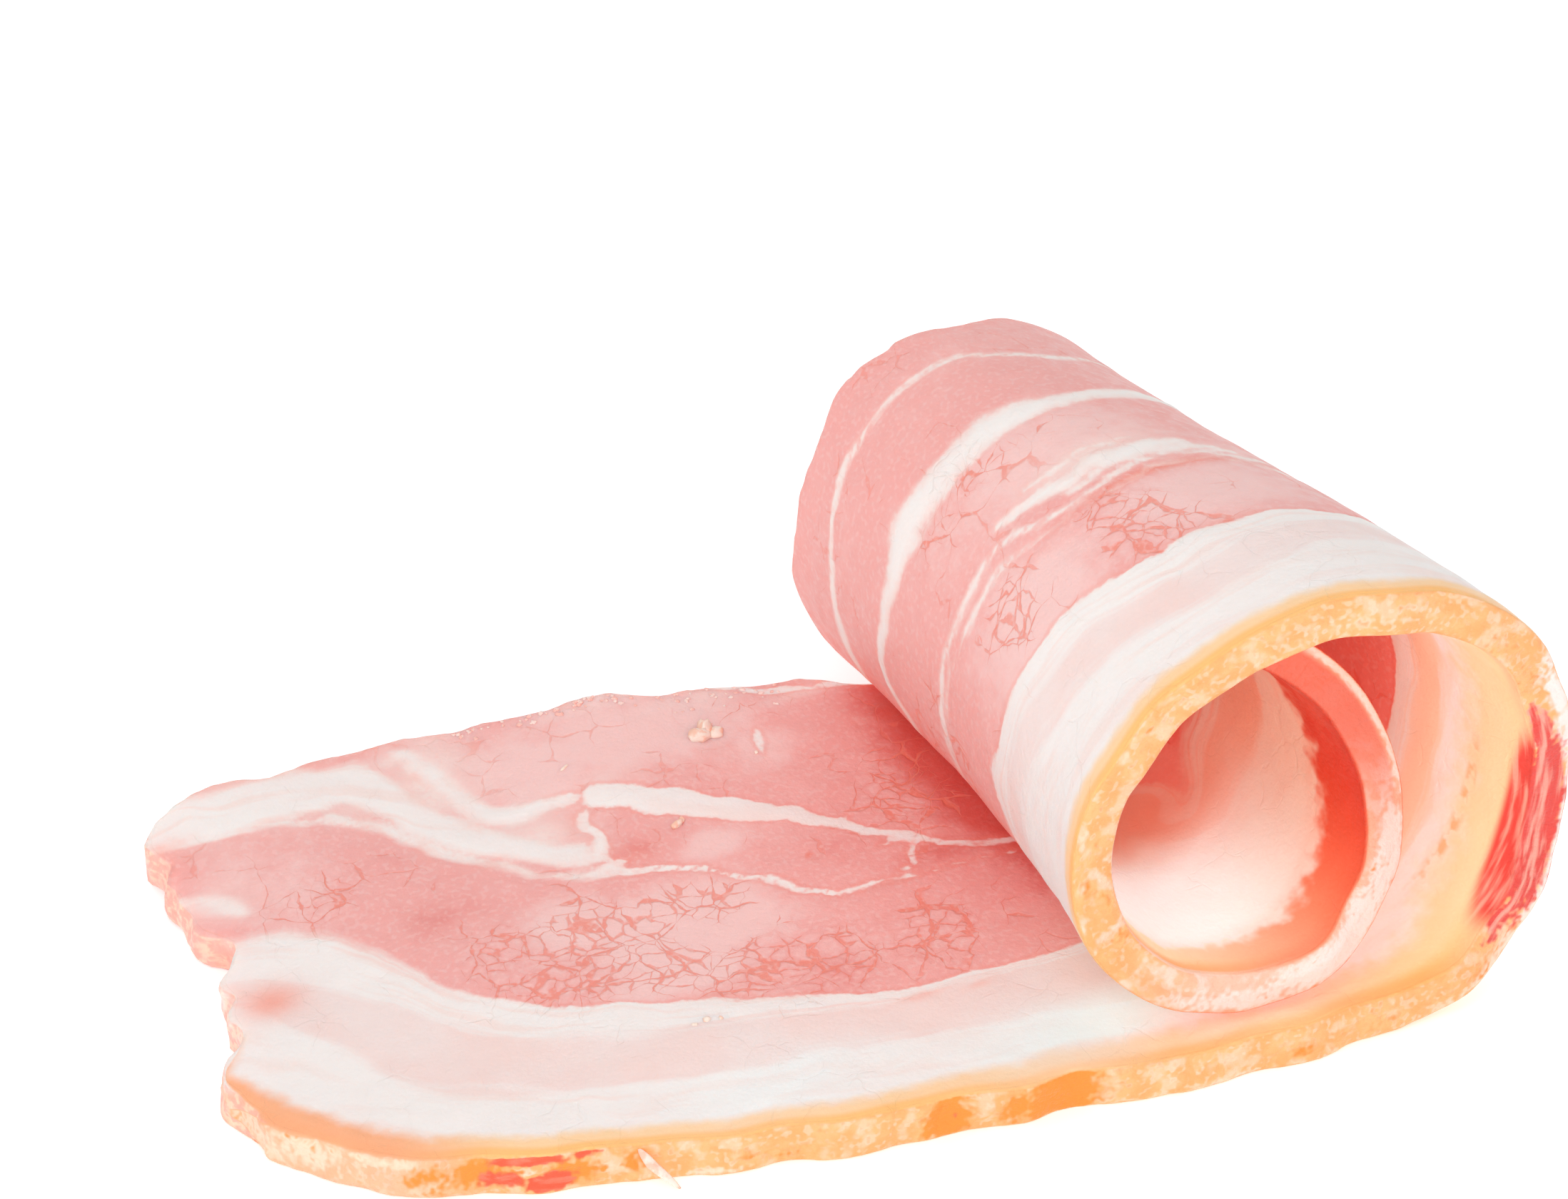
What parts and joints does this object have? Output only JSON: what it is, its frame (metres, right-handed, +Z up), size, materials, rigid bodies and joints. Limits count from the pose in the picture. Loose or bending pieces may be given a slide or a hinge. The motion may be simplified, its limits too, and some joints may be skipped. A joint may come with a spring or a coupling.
{
  "type": "bacon rasher",
  "caption": "Thick-cut raw streaky bacon rasher with a rind edge, flat at one end and curled at the other into a loose open roll.",
  "frame": {"origin": "centre of the bounding box, on the plane the rasher lies on", "axes": "+Z up, +X from the flat end towards the roll, +Y along the roll's axis from the rind edge to the meat edge"},
  "size_m": [0.0784, 0.0549, 0.0312],
  "materials": {
    "cured_meat": "moist, satin"
  },
  "bodies": {
    "root": {"bacon_rasher": "cured_meat"}
  },
  "joints": []
}
